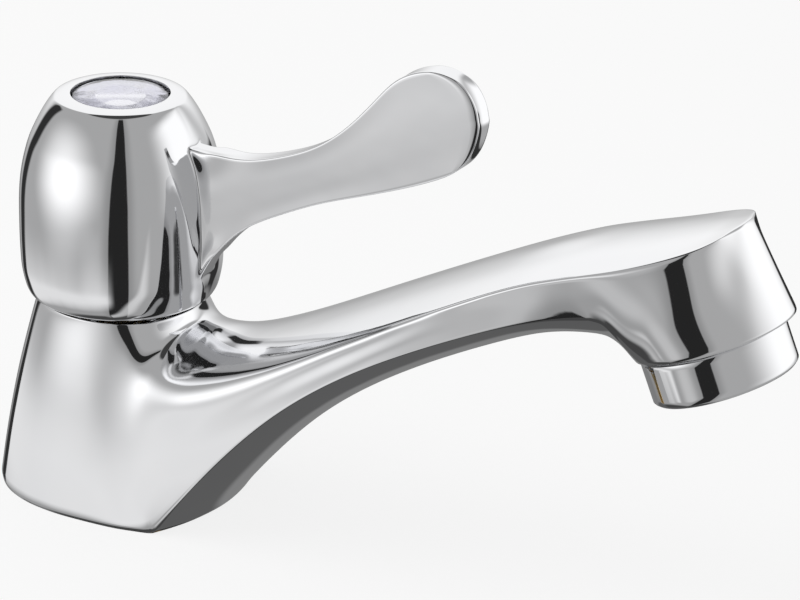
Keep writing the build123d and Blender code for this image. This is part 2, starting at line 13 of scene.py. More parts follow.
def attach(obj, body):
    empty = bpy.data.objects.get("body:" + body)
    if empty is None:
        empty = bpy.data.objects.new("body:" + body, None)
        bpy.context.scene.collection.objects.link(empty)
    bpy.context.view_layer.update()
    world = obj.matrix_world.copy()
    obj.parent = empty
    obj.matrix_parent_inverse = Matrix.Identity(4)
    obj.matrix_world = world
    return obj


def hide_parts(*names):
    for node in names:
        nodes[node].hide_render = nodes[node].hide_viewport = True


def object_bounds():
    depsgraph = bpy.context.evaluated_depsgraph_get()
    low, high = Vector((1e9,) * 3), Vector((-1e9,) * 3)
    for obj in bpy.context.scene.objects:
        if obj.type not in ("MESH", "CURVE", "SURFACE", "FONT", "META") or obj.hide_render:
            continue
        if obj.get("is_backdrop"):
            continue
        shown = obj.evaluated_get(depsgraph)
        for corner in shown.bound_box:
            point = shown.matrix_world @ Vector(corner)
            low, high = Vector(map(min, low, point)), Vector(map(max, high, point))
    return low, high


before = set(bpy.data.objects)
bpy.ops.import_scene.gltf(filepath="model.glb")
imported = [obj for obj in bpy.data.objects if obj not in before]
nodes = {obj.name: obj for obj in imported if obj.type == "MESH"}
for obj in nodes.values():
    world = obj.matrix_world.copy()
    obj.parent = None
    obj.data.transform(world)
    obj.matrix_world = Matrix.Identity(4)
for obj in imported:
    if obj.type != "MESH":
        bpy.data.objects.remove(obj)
bpy.context.view_layer.update()

# %% [markdown]
# The camera comes first, because everything after it is judged through it. It stands about 600 mm
# away, ahead of the spout and to its right, and looks down at 23 degrees. A long lens keeps the
# perspective gentle, as in a catalogue picture.

# %% Camera
camera_data = bpy.data.cameras.new("camera")
camera_data.sensor_width = 36.0
camera_data.lens = 136.2
camera_data.clip_end = 50.0
camera = bpy.data.objects.new("camera", camera_data)
bpy.context.scene.collection.objects.link(camera)
right = Vector((0.8703, 0.4918, 0.0252)).normalized()
back = Vector((0.4427, -0.8038, 0.3973)).normalized()
up = back.cross(right)
right = up.cross(back)
turn = Matrix((right, up, back)).transposed()
camera.matrix_world = Matrix.Translation((0.31377, -0.45578, 0.27842)) @ turn.to_4x4()
bpy.context.scene.camera = camera
print("camera at", [round(v, 3) for v in camera.matrix_world.translation])

# %% [markdown]
# Cast chrome has no flat facets, so its parts are modelled as coarse cages that a Subdivision
# Surface rounds off. Such a surface always lies a little inside its cage. The helper below lets the
# cage be drawn through points measured on the real part: it looks where the smooth surface passes
# each corner and moves the corner out by the difference, until the surface itself meets the points.

# %% Helpers for cages
MM = 0.001


def cage_object(name, bm, levels):
    """A mesh object from a cage in millimetres, with a Subdivision Surface on it."""
    bmesh.ops.scale(bm, vec=(MM, MM, MM), verts=bm.verts)
    mesh = bpy.data.meshes.new(name)
    bm.to_mesh(mesh)
    bm.free()
    for face in mesh.polygons:
        face.use_smooth = True
    thing = bpy.data.objects.new(name, mesh)
    bpy.context.scene.collection.objects.link(thing)
    smooth = thing.modifiers.new("subdivision", "SUBSURF")
    smooth.levels = levels
    smooth.render_levels = levels
    return thing


def lay_on(bm, corners, part, push=0.8, reach=1.8):
    """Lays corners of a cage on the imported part, coming from a little outside it."""
    packed = nodes[part]
    into = packed.matrix_world.inverted()
    bm.normal_update()
    moved = 0
    for v in corners:
        found, place, _, _ = packed.closest_point_on_mesh(into @ ((v.co + v.normal * push) * MM))
        place = packed.matrix_world @ place / MM
        if found and (place - v.co).length < reach:
            v.co = (place.x, place.y if abs(v.co.y) > 0.001 else 0.0, place.z)
            moved += 1
    print("corners laid on", part + ":", moved, "of", len(corners))


def press_out(thing, rounds=6, strength=0.9):
    """Moves the cage's corners out until the smooth surface passes through where they began."""
    smooth = thing.modifiers["subdivision"]
    full = smooth.levels
    smooth.levels = 1
    targets = [v.co.copy() for v in thing.data.vertices]
    for _ in range(rounds):
        graph = bpy.context.evaluated_depsgraph_get()
        shaped = thing.evaluated_get(graph).data
        off = [targets[i] - shaped.vertices[i].co for i in range(len(targets))]
        for v, gap in zip(thing.data.vertices, off):
            v.co += gap * strength
        thing.data.update()
    smooth.levels = full
    print(thing.name, "largest gap left, mm:", round(max(g.length for g in off) * 1000, 3))


def bake_surface(thing):
    """Applies the modifiers, so that the finished mesh is what the object holds."""
    graph = bpy.context.evaluated_depsgraph_get()
    mesh = bpy.data.meshes.new_from_object(thing.evaluated_get(graph))
    thing.modifiers.clear()
    thing.data = mesh
    for face in mesh.polygons:
        face.use_smooth = True
    print(thing.name, "faces:", len(mesh.polygons))
    return thing


def add_row(bm, row, points):
    """Extrudes a row of corners once and places the new corners at the points, in the same order."""
    edges = [bm.edges.get((a, b)) for a, b in zip(row, row[1:])]
    made = bmesh.ops.extrude_edge_only(bm, edges=edges)["geom"]
    fresh = {v for v in made if isinstance(v, bmesh.types.BMVert)}
    following = []
    for corner, place in zip(row, points):
        new = next(e.other_vert(corner) for e in corner.link_edges if e.other_vert(corner) in fresh)
        following.append(new)
    for new, place in zip(following, points):
        new.co = place
    return following


def first_row(bm, points):
    """A chain of corners and edges to extrude from."""
    row = [bm.verts.new(p) for p in points]
    for a, b in zip(row, row[1:]):
        bm.edges.new((a, b))
    return row


# %% [markdown]
# The body is one casting. Its column is a leaning cone with a sharp corner at each side of the base's
# front; the spout grows out of its front. The section of the spout is a crowned top, two upright
# flanks and a rounded belly, and the belly meets each flank in a crease that runs from the base's
# corner all the way to the outlet. Sizes along the spout were measured at a few stations.

# %% Sizes of the column
REAR_STEPS = [(0.0, 1.0), (9.0, 0.86), (18.5, 0.66), (27.5, 0.43), (34.5, 0.20), (40.2, 0.02)]
NECK_RADIUS = 16.4
NECK_TOP = 40.6
BASE_SIDE = [(19.2, -19.1), (15.4, -20.3), (11.5, -21.2), (5.8, -21.8), (0.0, -22.1), (-4.65, -21.87),
             (-9.37, -21.04), (-14.01, -19.29), (-17.9, -16.7), (-21.11, -13.19), (-23.23, -9.38),
             (-24.64, -4.79), (-25.1, 0.0)]
NECK_ANGLES = [44.0, 55.0, 66.0, 78.0, 90.0, 102.0, 114.0, 126.0, 137.0, 148.0, 158.0, 169.0, 180.0]


def column_point(base, angle, share, height):
    """A point of the column between its base outline and the round neck."""
    turn = math.radians(angle)
    neck = Vector((NECK_RADIUS * math.cos(turn), -NECK_RADIUS * math.sin(turn), 0))
    place = neck.lerp(Vector((base[0], base[1], 0)), share)
    place.z = height
    return place


def between(table, x):
    """Reads a table of (x, values...) rows at x, on straight lines from row to row."""
    if x <= table[0][0]:
        return table[0][1:]
    for low, high in zip(table, table[1:]):
        if x <= high[0]:
            t = (x - low[0]) / (high[0] - low[0])
            return tuple(a + (b - a) * t for a, b in zip(low[1:], high[1:]))
    return table[-1][1:]


# %% Stations of the spout: shoulder and crown, then crease and belly
SHOULDER = [(19, 18.0, 28.6, 7.4), (30, 17.9, 33.6, 5.6), (40, 17.8, 38.2, 5.9), (52, 17.5, 45.4, 4.9),
            (64, 17.3, 52.7, 3.9), (75, 17.1, 58.7, 3.4), (88, 16.9, 66.0, 2.5), (98, 16.6, 70.4, 2.2),
            (106, 16.5, 73.2, 2.0)]
CREASE = [(19.2, 19.1, 0.0, 0.0), (25, 19.35, 7.4, 4.6), (32, 19.3, 16.3, 6.6), (40, 19.15, 26.4, 7.1),
          (52, 18.8, 37.1, 6.8), (64, 18.3, 45.6, 6.6), (75, 17.7, 52.4, 6.5), (88, 16.8, 58.9, 6.2),
          (98, 15.8, 63.3, 6.3), (104, 15.0, 64.9, 7.0)]
ROWS = [(23.5, 26.0), (31.0, 33.5), (41.0, 42.5), (52.0, 52.5), (64.0, 63.5), (76.0, 75.0), (87.0, 86.5),
        (95.5, 97.0)]
print("stations along the spout:", len(ROWS))

# %% [markdown]
# The head is the end of the same casting. Its top is a long tongue, its outlet a round rim that leans
# forward by 24 degrees, and straight sides join the two. Points on the rim and on the tongue are
# given by an angle, so both curves stay true whatever the cage.

# %% Rim and tongue of the head
TILT = math.radians(23.65)
OUTLET = Vector((129.4, 0, 53.2))
FORWARD = Vector((math.cos(TILT), 0, math.sin(TILT)))
AXIS = Vector((-math.sin(TILT), 0, math.cos(TILT)))
SIDE = Vector((0, -1, 0))
RIM_HEIGHT = 8.9
CROWN_RADIUS = 60.0
CROWN_SLOPE = math.radians(18.5)
CROWN_POINT = Vector((104.0, 0, 74.9))


def rim_point(angle, height=RIM_HEIGHT, radius=15.0):
    """A point of the outlet's rim; 0 degrees is the nose and 180 the back."""
    turn = math.radians(angle)
    return OUTLET + AXIS * height + FORWARD * (0.8 + radius * math.cos(turn)) + SIDE * radius * math.sin(turn)


def crown_height(x, y):
    """Height of the crowned top of the head over a point."""
    sag = CROWN_RADIUS - math.sqrt(CROWN_RADIUS ** 2 - y * y)
    return CROWN_POINT.z + (x - CROWN_POINT.x) * math.tan(CROWN_SLOPE) - sag / math.cos(CROWN_SLOPE)


def tongue_point(angle, inward=0.0):
    """A point of the tongue's outline on the crowned top; 0 degrees is the nose, 90 its widest place."""
    turn = math.radians(angle)
    ahead = -14.4 + 28.4 * math.cos(turn)
    y = -(16.5 * math.sin(turn)) * (1 - inward)
    # The outline is drawn square to the outlet's axis, then moved along the axis onto the crown
    height = 27.5
    for _ in range(4):
        place = OUTLET + FORWARD * ahead + AXIS * height
        height += (crown_height(place.x, y) - place.z) / AXIS.z * 0.9
    place = OUTLET + FORWARD * ahead + AXIS * height
    return Vector((place.x, y, place.z))


print("nose of the head at", [round(v, 1) for v in tongue_point(0)])

# %% [markdown]
# The cage is made as one half and mirrored. A row of corners is a half section of the spout, from the
# middle of the belly over crease and shoulder to the middle of the top, and each new row is extruded
# from the last. The first row lies on the column: along the front of the base, up the corner and
# over the front of the neck. The column's own rows start from that corner line and go round the back.

# %% Half sections
def section(belly, crease, shoulder, top):
    """Ten points of a half section: belly middle, two, crease, two, shoulder, two, top middle."""
    row = [belly]
    for t in (0.36, 0.70):
        y = crease.y * math.sin(t * math.pi / 2 * 1.02)
        share = 1 - math.sqrt(max(0.0, 1 - (y / crease.y) ** 2)) if crease.y else t
        share = 0.45 * share + 0.55 * (y / crease.y) ** 2
        row.append(Vector((belly.x + (crease.x - belly.x) * share, y, belly.z + (crease.z - belly.z) * share)))
    row.append(crease)
    row += [crease.lerp(shoulder, 1 / 3), crease.lerp(shoulder, 2 / 3)]
    row.append(shoulder)
    for t in (0.64, 0.32):
        y = shoulder.y * t
        place = top.lerp(shoulder, t * t)
        row.append(Vector((place.x, y, place.z)))
    row.append(top)
    return row


body_cage = bmesh.new()
corner_line = [column_point(BASE_SIDE[0], 44.0, share, height) for height, share in REAR_STEPS[:4]]
corner_line[1] = Vector((17.0, -19.5, 9.5))
corner_line[2] = Vector((14.0, -19.1, 18.5))
corner_line[3] = Vector((11.2, -17.6, 27.4))
front_arc = [Vector((24.4, 0, 0)), Vector((23.6, -7.2, 0)), Vector((21.6, -13.6, 0))]
neck_front = [Vector((14.6, -12.2, 32.2)), Vector((17.2, -6.6, 35.2)), Vector((17.9, 0, 36.0))]
opening = front_arc + corner_line + neck_front
first = first_row(body_cage, opening)

# %% Spout rows
row = first
spout_rows = [first]
for top_x, low_x in ROWS:
    half, shoulder_z, crown = between(SHOULDER, top_x)
    low_half, crease_z, belly_depth = between(CREASE, low_x)
    points = section(
        Vector((low_x + 0.5, 0, crease_z - belly_depth)),
        Vector((low_x, -low_half, crease_z)),
        Vector((top_x, -half, shoulder_z)),
        Vector((top_x, 0, shoulder_z + crown)),
    )
    row = add_row(body_cage, row, points)
    spout_rows.append(row)
print("spout rows:", len(spout_rows))

# %% [markdown]
# Under the head the belly curls down to the back of the rim. Three more rows lead it there, and the
# last of them lies on the rim itself. From there on a row is only half of one: tongue and side, with
# its lower end on the rim. The last row is the nose.

# %% Rows of the head
curl_rows = [
    (Vector((105.8, 0, 57.9)), Vector((107.5, -14.6, 65.1)), 96.0),
    (Vector((109.8, 0, 57.3)), Vector((112.2, -13.6, 63.5)), 84.0),
]
for belly, crease, angle in curl_rows:
    shoulder = tongue_point(angle) if angle <= 90 else tongue_point(90) + Vector((-3.2, 0, -1.1))
    top = Vector((shoulder.x + 1.0, 0, crown_height(shoulder.x + 1.0, 0)))
    row = add_row(body_cage, row, section(belly, crease, shoulder, top))
    spout_rows.append(row)
rim_back = [rim_point(180), rim_point(165), rim_point(150), rim_point(134)]
shoulder = tongue_point(72)
top = Vector((shoulder.x + 1.5, 0, crown_height(shoulder.x + 1.5, 0)))
seam = section(rim_back[0], rim_back[3], shoulder, top)
seam[0:4] = rim_back
row = add_row(body_cage, row, seam)
spout_rows.append(row)
head_row = row[3:]
head_rows = [head_row]
for tongue_angle, rim_angle, lean in [(59, 111, 1.8), (46, 88, 1.8), (35, 65, 1.2)]:
    shoulder = tongue_point(tongue_angle)
    low = rim_point(rim_angle)
    side = [low, low.lerp(shoulder, 1 / 3), low.lerp(shoulder, 2 / 3), shoulder]
    for t in (0.64, 0.32, 0.0):
        x = shoulder.x + lean * (1 - t)
        y = shoulder.y * t
        side.append(Vector((x, y, crown_height(x, y))))
    head_row = add_row(body_cage, head_row, side)
    head_rows.append(head_row)

# %% Nose: the top's last corners lie on the outline, and three rows hang from them down to the rim
last = head_rows[-1]
nose_angles = [(35, 65), (25, 44), (16.5, 29), (8.3, 14.5), (0, 0)]
top_chain = [last[3]] + add_row(body_cage, last[3:], [tongue_point(a) for a, _ in nose_angles[1:]])
hanging = top_chain
for share, meets in ((2 / 3, last[2]), (1 / 3, last[1]), (0.0, last[0])):
    level = [rim_point(low).lerp(tongue_point(high), share) for high, low in nose_angles]
    hanging = add_row(body_cage, hanging, level)
    bmesh.ops.weld_verts(body_cage, targetmap={hanging[0]: meets})
    hanging[0] = meets
print("columns round the nose:", len(hanging))

# %% Column: rows round the back from the corner line
column_rows = []
for level in range(6):
    height, share = REAR_STEPS[level]
    side_points = []
    for base, angle in zip(BASE_SIDE, NECK_ANGLES):
        side_points.append(column_point(base, angle, share, height))
    column_rows.append(side_points)
chain = [first[3], first[4], first[5], first[6]]
columns_back = [chain]
for k in range(1, len(BASE_SIDE)):
    chain = add_row(body_cage, chain, [column_rows[level][k] for level in range(4)])
    columns_back.append(chain)

# %% Neck: two rows above the spout's root
neck_line = [first[9], first[8], first[7], first[6]] + [c[3] for c in columns_back[1:]]
neck_angles = [0, 15, 30] + NECK_ANGLES
neck_rows = []
for height, radius_grow in ((37.6, 0.85), (40.55, 0.0)):
    ring = []
    for angle in neck_angles:
        turn = math.radians(angle)
        radius = NECK_RADIUS + radius_grow
        ring.append(Vector((radius * math.cos(turn), -radius * math.sin(turn), height)))
    neck_line = add_row(body_cage, neck_line, ring)
    neck_rows.append(neck_line)
neck_edge = neck_line

# %% [markdown]
# So far the corners stand where a ruler and a few sections put them. Now those of the spout and the
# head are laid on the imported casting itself, which keeps the drawn surface within a tenth of a
# millimetre of it. Polishing has worked on the real one, so the shoulders near the column are drawn in
# a little, the flanks and the head's sides bulge by a few tenths, the pocket between spout and neck is
# filled a little, and the patches where column, spout and neck run into each other are evened out.

# %% Outer corners laid on the casting
bmesh.ops.recalc_face_normals(body_cage, faces=body_cage.faces)
on_column = {v for c in columns_back[1:] for v in c}
lay_on(body_cage, [v for v in body_cage.verts if v not in on_column], "body_casting")
for i, row in enumerate(spout_rows[1:8]):
    row[6].co -= row[6].normal * (0.5 - 0.06 * i)
for row in spout_rows[2:7]:
    for v in row[4:6]:
        v.co.y -= 0.3
for v in first[0:4] + [c[0] for c in columns_back[1:]]:
    v.co.xy *= 0.993
side_rows = [head_rows[1][1:4], head_rows[2][1:4], head_rows[3][1:4], top_chain[1:2]]
for corners, out in zip(side_rows, (0.4, 1.25, 1.45, 0.8)):
    for v, share in zip(corners, (0.33, 0.67, 1.0) if len(corners) == 3 else (1.0,)):
        v.co += Vector((v.normal.x, v.normal.y, 0)).normalized() * out * share
for v, lift in zip(first[7:10] + spout_rows[1][7:10], (0.9, 1.3, 1.5, 0.3, 0.6, 0.7)):
    v.co += Vector((0.3, 0, 1)) * lift


def soften(corners, times):
    """Evens out a patch of corners; those on the middle plane stay on it."""
    middle = [v for v in corners if abs(v.co.y) < 0.001]
    for _ in range(times):
        bmesh.ops.smooth_vert(body_cage, verts=corners, factor=0.5, use_axis_x=True, use_axis_y=True, use_axis_z=True)
        for v in middle:
            v.co.y = 0.0


soften(first[4:7] + spout_rows[1][4:6] + columns_back[1][1:4] + columns_back[2][1:4], 4)
soften(first[7:10] + spout_rows[1][7:10] + neck_rows[0][0:4], 3)

# %% [markdown]
# The rim of the head is turned inwards: a narrow flat ring, then the wall of the bore that the
# aerator screws into. The base is closed by a flat ring round the tail in the same way.

# %% Rim and bore of the outlet
rim_chain = spout_rows[-1][0:4] + [r[0] for r in head_rows[1:]] + hanging[1:]
rim_angles = [180, 165, 150, 134, 111, 88, 65, 44, 29, 14.5, 0]
inner_row = add_row(body_cage, rim_chain, [rim_point(a, RIM_HEIGHT, 12.6) - FORWARD * 0.8 for a in rim_angles])
bore_row = add_row(body_cage, inner_row, [rim_point(a, 15.5, 12.6) - FORWARD * 0.8 for a in rim_angles])
bore_end = add_row(body_cage, bore_row, [rim_point(a, 15.5, 2.0) - FORWARD * 0.8 for a in rim_angles])

# %% Inside of the neck
for radius, height in ((11.9, 40.55), (11.9, 36.0), (5.3, 36.0)):
    ring = [Vector((radius * math.cos(math.radians(a)), -radius * math.sin(math.radians(a)), height)) for a in neck_angles]
    neck_line = add_row(body_cage, neck_line, ring)

# %% Underside of the base
base_chain = [first[0], first[1], first[2], first[3]] + [c[0] for c in columns_back[1:]]
base_edge = base_chain
base_rings = []
ring_angles = [0, 18, 33] + NECK_ANGLES
for radius, height in ((10.6, 0.0), (10.6, 6.0)):
    ring = [Vector((radius * math.cos(math.radians(a)), -radius * math.sin(math.radians(a)), height)) for a in ring_angles]
    base_chain = add_row(body_cage, base_chain, ring)
    base_rings.append(base_chain)

# %% [markdown]
# Creases keep an edge sharp through the subdivision. The belly's crease, the base's edge and the
# rim are crisp. The tongue's edge is crisp at the nose and fades out along the spout, where polishing
# has rounded the shoulder.

# %% Creases, mirror and object
crease_layer = body_cage.edges.layers.float.new("crease_edge")


def crease_chain(corners, amount):
    """Gives every edge of a chain of corners a crease."""
    for a, b in zip(corners, corners[1:]):
        edge = body_cage.edges.get((a, b))
        if edge:
            edge[crease_layer] = amount


crease_chain([r[3] for r in spout_rows], 0.85)
crease_chain(rim_chain, 0.7)
crease_chain(inner_row, 0.9)
crease_chain(bore_row, 0.9)
crease_chain(base_edge, 0.95)
crease_chain(base_rings[0], 0.9)
crease_chain(neck_edge, 0.9)
shoulder_chain = [r[6] for r in spout_rows] + [r[3] for r in head_rows[1:]]
for i, (a, b) in enumerate(zip(shoulder_chain, shoulder_chain[1:])):
    edge = body_cage.edges.get((a, b))
    edge[crease_layer] = min(0.92, max(0.0, (i - 3) * 0.16))
crease_chain(top_chain, 0.92)
bmesh.ops.mirror(body_cage, geom=body_cage.verts[:] + body_cage.edges[:] + body_cage.faces[:], axis="Y", merge_dist=0.0001)
bmesh.ops.remove_doubles(body_cage, verts=body_cage.verts, dist=0.0001)
bmesh.ops.recalc_face_normals(body_cage, faces=body_cage.faces)
print("body cage faces:", len(body_cage.faces))
body = cage_object("body_shell", body_cage, 3)
press_out(body)
bake_surface(body)

# %% [markdown]
# The handle is cast in one: a hollow barrel and a flat paddle. Its barrel is a turned shape, so the
# cage is a profile spun about the spindle's axis. One strip of its faces, at the front, is split in two
# and extruded section by section into the paddle. That keeps barrel and lever one closed skin,
# with a small hollow where they meet, as the casting has.

# %% Profile of the barrel: radius, height and how sharp the edge there is
BARREL_OUTSIDE = [(17.6, 41.6, 0.3), (18.3, 41.95, 0), (18.75, 42.65, 0), (19.15, 43.8, 0), (19.66, 46.3, 0), (19.88, 48.9, 0), (20.0, 53.0, 0),
                  (20.0, 57.8, 0), (19.85, 62.6, 0), (19.25, 67.4, 0), (18.15, 71.8, 0), (17.05, 74.6, 0),
                  (15.5, 77.7, 0), (13.95, 80.2, 0), (12.75, 81.6, 0.35), (11.4, 82.0, 0), (9.7, 82.1, 0.75)]
BARREL_INSIDE = [(9.6, 81.6, 0.6), (9.6, 77.4, 0.9), (6.6, 77.4, 0.9), (6.6, 72.4, 0.9), (2.8, 72.4, 0.9),
                 (2.8, 70.0, 0.9), (6.45, 70.0, 0.9), (6.45, 62.0, 0.9), (15.6, 62.0, 0.8), (16.7, 57.0, 0.3),
                 (16.7, 47.0, 0.3), (17.0, 41.6, 0.9)]
profile = BARREL_OUTSIDE + BARREL_INSIDE
STEPS = 24

handle_cage = bmesh.new()
half_step = math.pi / STEPS
ring = [handle_cage.verts.new((r * math.cos(half_step), r * math.sin(half_step), z)) for r, z, _ in profile]
for a, b in zip(ring, ring[1:] + ring[:1]):
    handle_cage.edges.new((a, b))
bmesh.ops.spin(handle_cage, geom=handle_cage.verts[:] + handle_cage.edges[:], cent=(0, 0, 0), axis=(0, 0, 1),
               dvec=(0, 0, 0), angle=2 * math.pi, steps=STEPS, use_merge=True, use_duplicate=False)
bmesh.ops.remove_doubles(handle_cage, verts=handle_cage.verts, dist=0.001)
print("barrel cage faces:", len(handle_cage.faces))

# %% Front strip, split down its middle
sharp_at = handle_cage.edges.layers.float.new("crease_edge")
for edge in handle_cage.edges:
    a, b = (v.co for v in edge.verts)
    if abs(a.z - b.z) < 0.001 and abs(a.xy.length - b.xy.length) < 0.001:
        for r, z, sharp in profile:
            if abs(a.xy.length - r) < 0.01 and abs(a.z - z) < 0.01:
                edge[sharp_at] = sharp
across = [e for e in handle_cage.edges if abs(e.verts[0].co.x - e.verts[1].co.x) < 0.001
          and min(v.co.x for v in e.verts) > 0 and abs(e.verts[0].co.y + e.verts[1].co.y) < 0.001
          and abs(e.verts[0].co.z - e.verts[1].co.z) < 0.001]
split = bmesh.ops.subdivide_edges(handle_cage, edges=across, cuts=1, use_grid_fill=True)
for v in handle_cage.verts:
    if abs(v.co.y) < 0.001 and v.co.x > 0:
        v.co.x /= math.cos(half_step)
print("edges split:", len(across))

# %% [markdown]
# The lever's sections are given by a low and a top point of its outline. The last one lies on the
# round tip. The thickness stays the same from end to end, as on the real lever.

# %% Lever sections, low end first
LEVER_HALF = 2.2
LEVER_SECTIONS = [((22.0, 52.9), (20.5, 74.3)), ((25.2, 56.6), (26.0, 74.6)), ((30.2, 61.2), (31.8, 75.4)),
                  ((37.5, 65.4), (38.3, 77.5)), ((46.0, 69.5), (45.2, 80.8)), ((54.6, 72.8), (51.8, 86.0)),
                  ((62.6, 75.9), (57.6, 92.4)), ((69.2, 78.8), (62.6, 97.5))]
LEVER_TIP = [(74.6, 81.9), (77.6, 86.0), (78.8, 90.6), (77.9, 95.0), (74.9, 98.65), (69.0, 100.02)]
bmesh.ops.recalc_face_normals(handle_cage, faces=handle_cage.faces)
levels_on_root = [48.9, 53.0, 57.8, 62.6, 67.4, 71.8, 74.6]
front = [f for f in handle_cage.faces if f.calc_center_median().x > 14.0
         and abs(f.calc_center_median().y) < 2.0 and 48.9 < f.calc_center_median().z < 74.6
         and f.normal.x > 0]
root_edges = [e for e in handle_cage.edges if len([f for f in e.link_faces if f in front]) == 1]
print("faces that the lever grows from:", len(front))
rows = len(levels_on_root)
places = []
for low, top in LEVER_SECTIONS:
    places.append([Vector((low[0] + (top[0] - low[0]) * j / (rows - 1), 0, low[1] + (top[1] - low[1]) * j / (rows - 1)))
                   for j in range(rows)])
tip = [Vector((x, 0, z)) for x, z in LEVER_TIP]
tip.insert(3, Vector((78.6, 0, 92.6)))
places.append(tip)
for k, line in enumerate(places):
    made = bmesh.ops.extrude_face_region(handle_cage, geom=front)["geom"]
    bmesh.ops.delete(handle_cage, geom=front, context="FACES")
    front = [g for g in made if isinstance(g, bmesh.types.BMFace)]
    corners = {v for f in front for v in f.verts}
    order = {}
    for v in corners:
        # A corner's row is the nearest place on the line before this one
        before = [Vector((0, 0, z)) for z in levels_on_root] if k == 0 else places[k - 1]
        far = [abs(v.co.z - p.z) if k == 0 else (Vector((v.co.x, 0, v.co.z)) - p).length for p in before]
        order[v] = far.index(min(far))
    for v, j in order.items():
        side = 0 if abs(v.co.y) < 0.01 else math.copysign(LEVER_HALF, v.co.y)
        v.co = (line[j].x, side, line[j].z)
print("lever sections:", len(places))

# %% Edges of the lever
for edge in root_edges:
    edge[sharp_at] = 0.45
for edge in handle_cage.edges:
    a, b = (v.co for v in edge.verts)
    mid = (a + b) / 2
    if mid.x < 20.3 or abs(abs(mid.y) - LEVER_HALF) > 0.01:
        continue
    flat_faces = [f for f in edge.link_faces if all(abs(abs(v.co.y) - LEVER_HALF) < 0.5 for v in f.verts)]
    if len(flat_faces) == 1:
        edge[sharp_at] = 0.8
bmesh.ops.recalc_face_normals(handle_cage, faces=handle_cage.faces)
handle = cage_object("handle_shell", handle_cage, 3)
press_out(handle)
bake_surface(handle)

# %% [markdown]
# The smaller round parts come off a lathe, so they are made the same way: half of the section is
# drawn and spun. The corners of the section that are crisp on the real part get a crease, and the
# subdivision rounds the others. One helper does this for all of them.

# %% Helper for turned parts
def turned(name, section_points, place=None, steps=32, levels=2):
    """Spins (radius, height, crease) points about Z; a closed ring, or one that ends on the axis."""
    bm = bmesh.new()
    line = [bm.verts.new((r, 0, z)) for r, z, _ in section_points]
    for a, b in zip(line, line[1:]):
        bm.edges.new((a, b))
    if section_points[0][0] > 0 or section_points[-1][0] > 0:
        bm.edges.new((line[-1], line[0]))
    bmesh.ops.spin(bm, geom=bm.verts[:] + bm.edges[:], cent=(0, 0, 0), axis=(0, 0, 1), dvec=(0, 0, 0),
                   angle=2 * math.pi, steps=steps, use_merge=True, use_duplicate=False)
    bmesh.ops.remove_doubles(bm, verts=bm.verts, dist=0.001)
    layer = bm.edges.layers.float.new("crease_edge")
    for edge in bm.edges:
        a, b = (v.co for v in edge.verts)
        if abs(a.z - b.z) < 0.001 and abs(a.xy.length - b.xy.length) < 0.001:
            near = min(section_points, key=lambda p: abs(p[0] - a.xy.length) + abs(p[1] - a.z))
            edge[layer] = near[2]
    bmesh.ops.recalc_face_normals(bm, faces=bm.faces)
    if place:
        bmesh.ops.transform(bm, matrix=place, verts=bm.verts)
    thing = cage_object(name, bm, levels)
    press_out(thing)
    return bake_surface(thing)


# %% [markdown]
# The aerator screws into the outlet until only its plain skirt shows, half a millimetre short of the
# rim. That dark line matters: it tells the eye that these are two parts. The skirt's lower edge is
# slightly chamfered, and the collar above it carries the thread inside the head.

# %% Aerator shell
outlet_turn = Matrix((FORWARD, -SIDE, AXIS)).transposed()
outlet_place = Matrix.Translation(OUTLET) @ outlet_turn.to_4x4()
aerator = turned("aerator_sleeve", [
    (11.2, 0.0, 0.8), (12.9, 0.0, 0.6), (13.5, 0.6, 0.6), (13.5, 4.4, 0), (13.5, 8.0, 0.6), (13.1, 8.4, 0.7),
    (12.4, 8.4, 0.9), (12.4, 14.4, 0.9), (11.65, 14.4, 0.9), (11.65, 0.95, 0.9), (11.2, 0.95, 0.9)],
    place=outlet_place)

# %% [markdown]
# The button in the top of the handle is a clear plastic dome over a disc of bright foil. The light
# goes through the dome, bounces off the foil and comes back bent, which gives it its pale lilac
# look. A thin ring of shadow lies round it, where it is pressed into the casting.

# %% Index button: clear dome
button = turned("button_dome", [
    (0.0, 82.9, 0), (3.2, 82.8, 0), (6.0, 82.5, 0), (8.1, 82.05, 0), (9.1, 81.65, 0.2), (9.35, 81.2, 0.3),
    (9.35, 79.22, 0.9), (0.0, 79.22, 0)], steps=32)

# %% [markdown]
# The tail carries a pipe thread, which is a ridge that climbs as it goes round. Spinning one turn's
# profile while lifting it a little at each step makes exactly that. The ends are then cut square and
# the bore is made by turning the end edges inwards.

# %% Threaded tail
TAIL_TOP = 10.9
TAIL_LOW = -50.0
PITCH = 1.814
CREST = 10.4
ROOT = 9.35
turns = int((TAIL_TOP - TAIL_LOW) / PITCH) + 3
tail_mesh = bmesh.new()
ridge = [(ROOT, 0.0), (ROOT, 0.18), (CREST, 0.72), (CREST, 1.0), (ROOT, 1.62), (ROOT, PITCH)]
line = [tail_mesh.verts.new((r, 0, TAIL_LOW - PITCH * 1.5 + z)) for r, z in ridge]
for a, b in zip(line, line[1:]):
    tail_mesh.edges.new((a, b))
bmesh.ops.spin(tail_mesh, geom=tail_mesh.verts[:] + tail_mesh.edges[:], cent=(0, 0, 0), axis=(0, 0, 1),
               dvec=(0, 0, PITCH / 32), angle=2 * math.pi * turns, steps=32 * turns, use_merge=False,
               use_duplicate=False)
bmesh.ops.remove_doubles(tail_mesh, verts=tail_mesh.verts, dist=0.002)
